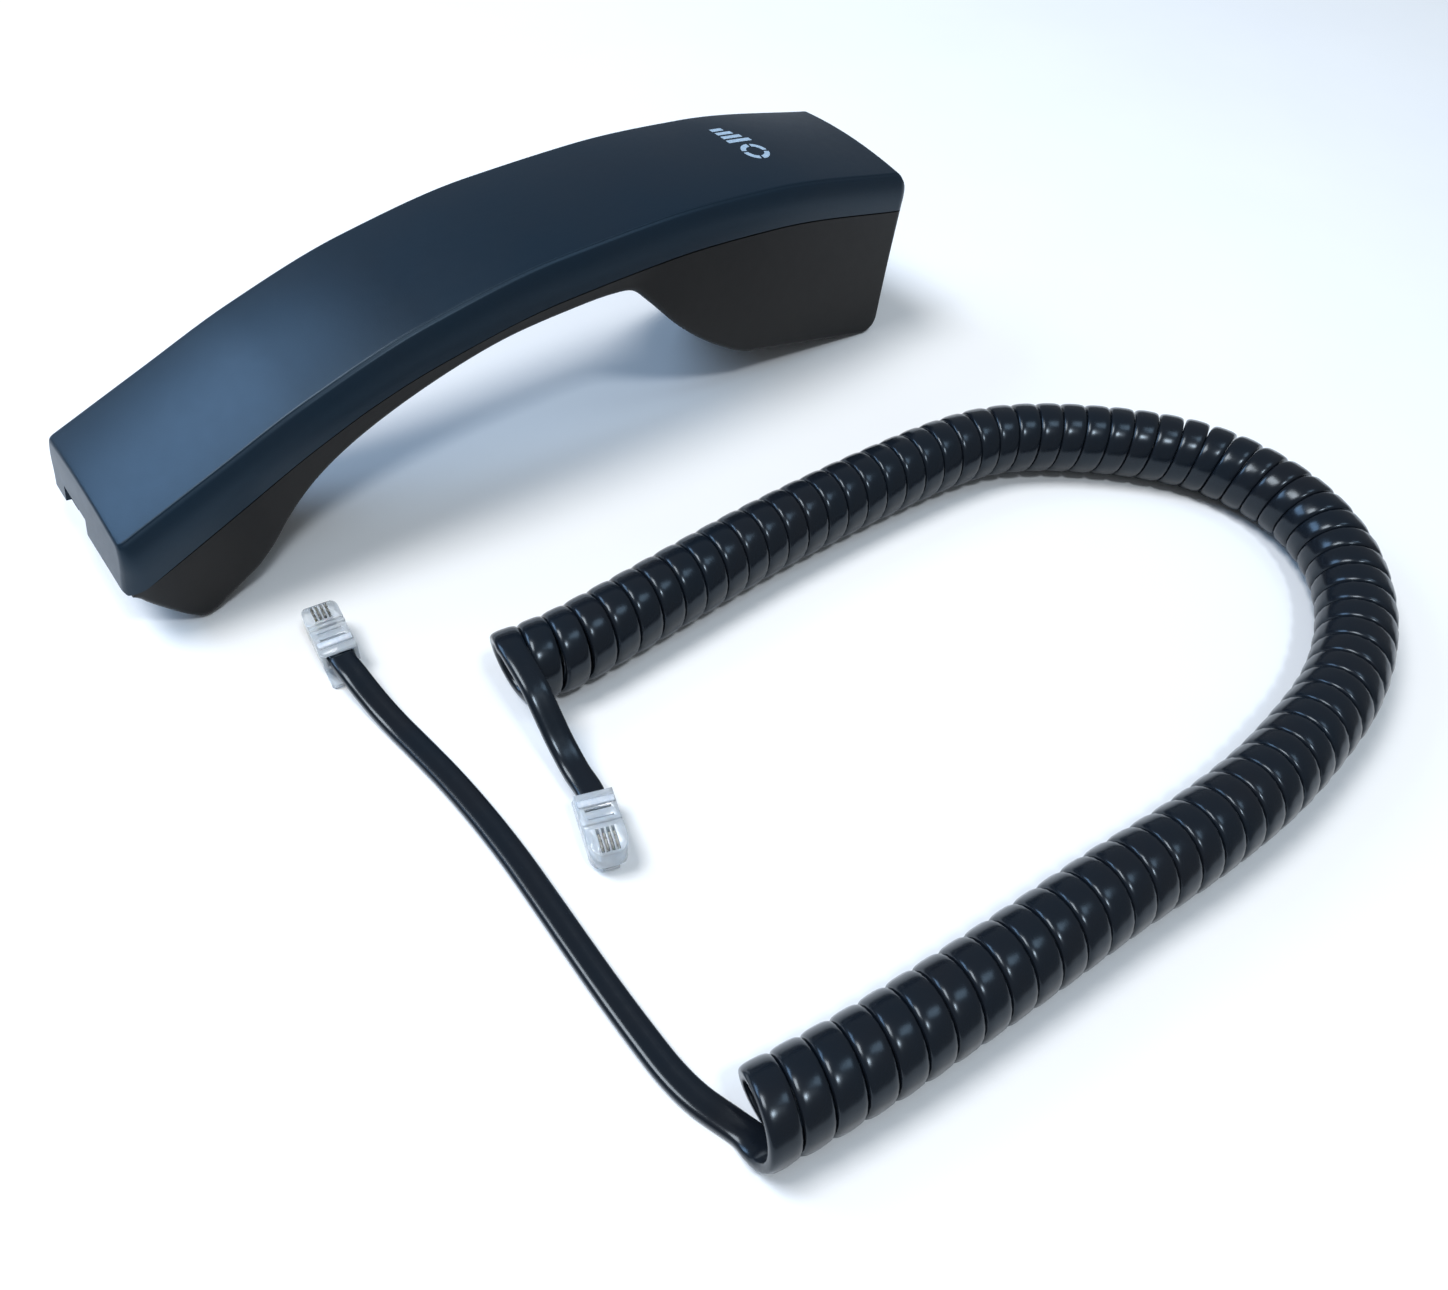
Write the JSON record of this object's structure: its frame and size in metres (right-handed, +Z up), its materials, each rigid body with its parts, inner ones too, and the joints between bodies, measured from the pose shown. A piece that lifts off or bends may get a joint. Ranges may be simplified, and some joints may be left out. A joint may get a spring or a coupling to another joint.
{
  "type": "telephone handset",
  "caption": "Corded desk telephone handset lying cups down, with a detached flat curly cord and its clear modular plugs.",
  "frame": {"origin": "under the middle of the handset, on the surface that it lies on, without its cord", "axes": "+X from the mouth end to the ear end, +Y across the handset away from the cord, +Z up"},
  "size_m": [0.2483, 0.2177, 0.0585],
  "materials": {
    "back_plastic": "satin",
    "front_plastic": "matte",
    "black_plastic": "satin",
    "cord_vinyl": "gloss",
    "clear_plastic": "clear gloss",
    "contact_gold": "polished",
    "steel": "satin",
    "dark_steel": "satin",
    "magnet": "polished",
    "film": "satin",
    "soft_rubber": "matte",
    "foam": "matte",
    "cloth": "matte",
    "circuit": "satin",
    "wire_red": "satin",
    "wire_black": "satin",
    "wire_green": "satin",
    "wire_yellow": "satin"
  },
  "bodies": {
    "handset": {"back_shell": "back_plastic", "front_shell": "front_plastic", "case_screw_1": "steel", "case_screw_2": "steel", "case_screw_cap_1": "soft_rubber", "case_screw_cap_2": "soft_rubber", "ear_cloth": "cloth", "ear_gasket": "foam", "receiver_frame": "black_plastic", "receiver_cover": "steel", "receiver_pole_plate": "steel", "receiver_magnet": "magnet", "receiver_yoke": "dark_steel", "receiver_retainer": "black_plastic", "receiver_terminal_board": "circuit", "mic_cloth": "cloth", "mic_boot": "soft_rubber", "mic_capsule": "steel", "jack_housing": "black_plastic", "circuit_board": "circuit", "board_screw": "steel", "board_capacitor": "dark_steel", "ballast_weight": "dark_steel", "ballast_screw_1": "steel", "ballast_screw_2": "steel", "wire_receiver_red": "wire_red", "wire_receiver_black": "wire_black", "wire_mic_red": "wire_red", "wire_mic_black": "wire_black", "wire_jack_1": "wire_black", "wire_jack_2": "wire_red", "wire_jack_3": "wire_green", "wire_jack_4": "wire_yellow"},
    "diaphragm": {"receiver_diaphragm": "film"},
    "jack_contacts": {"jack_contact_1": "contact_gold", "jack_contact_2": "contact_gold", "jack_contact_3": "contact_gold", "jack_contact_4": "contact_gold"},
    "cord": {"cord_coil": "cord_vinyl", "cord_tail_a": "cord_vinyl", "cord_tail_b": "cord_vinyl", "plug_a_body": "clear_plastic", "plug_a_contact_1": "contact_gold", "plug_a_contact_2": "contact_gold", "plug_a_contact_3": "contact_gold", "plug_a_contact_4": "contact_gold", "plug_b_body": "clear_plastic", "plug_b_contact_1": "contact_gold", "plug_b_contact_2": "contact_gold", "plug_b_contact_3": "contact_gold", "plug_b_contact_4": "contact_gold"},
    "plug_a_latch": {"plug_a_latch": "clear_plastic"},
    "plug_b_latch": {"plug_b_latch": "clear_plastic"}
  },
  "joints": [
    {"name": "cord_lift", "type": "slide", "parent": "handset", "child": "cord", "axis": [0, 0, 1], "range_m": [0, 0.12]},
    {"name": "diaphragm_travel", "type": "slide", "parent": "handset", "child": "diaphragm", "axis": [0.2419, 0, 0.9703], "range_m": [-0.0003, 0.0003], "stiffness_N_per_m": 1000},
    {"name": "jack_contacts_flex", "type": "hinge", "parent": "handset", "child": "jack_contacts", "pos_m": [-0.0967, 0.0065, 0.018], "axis": [0, -1, 0], "range_deg": [0, 8], "stiffness_Nm_per_rad": 0.19},
    {"name": "plug_a_press", "type": "hinge", "parent": "cord", "child": "plug_a_latch", "pos_m": [-0.07421, -0.0378, 0.0019], "axis": [-0.9925, 0.1219, 0], "range_deg": [0, 4], "stiffness_Nm_per_rad": 1},
    {"name": "plug_b_press", "type": "hinge", "parent": "cord", "child": "plug_b_latch", "pos_m": [-0.05693, -0.12334, 0.0019], "axis": [0.9455, -0.3256, 0], "range_deg": [0, 4], "stiffness_Nm_per_rad": 1}
  ]
}
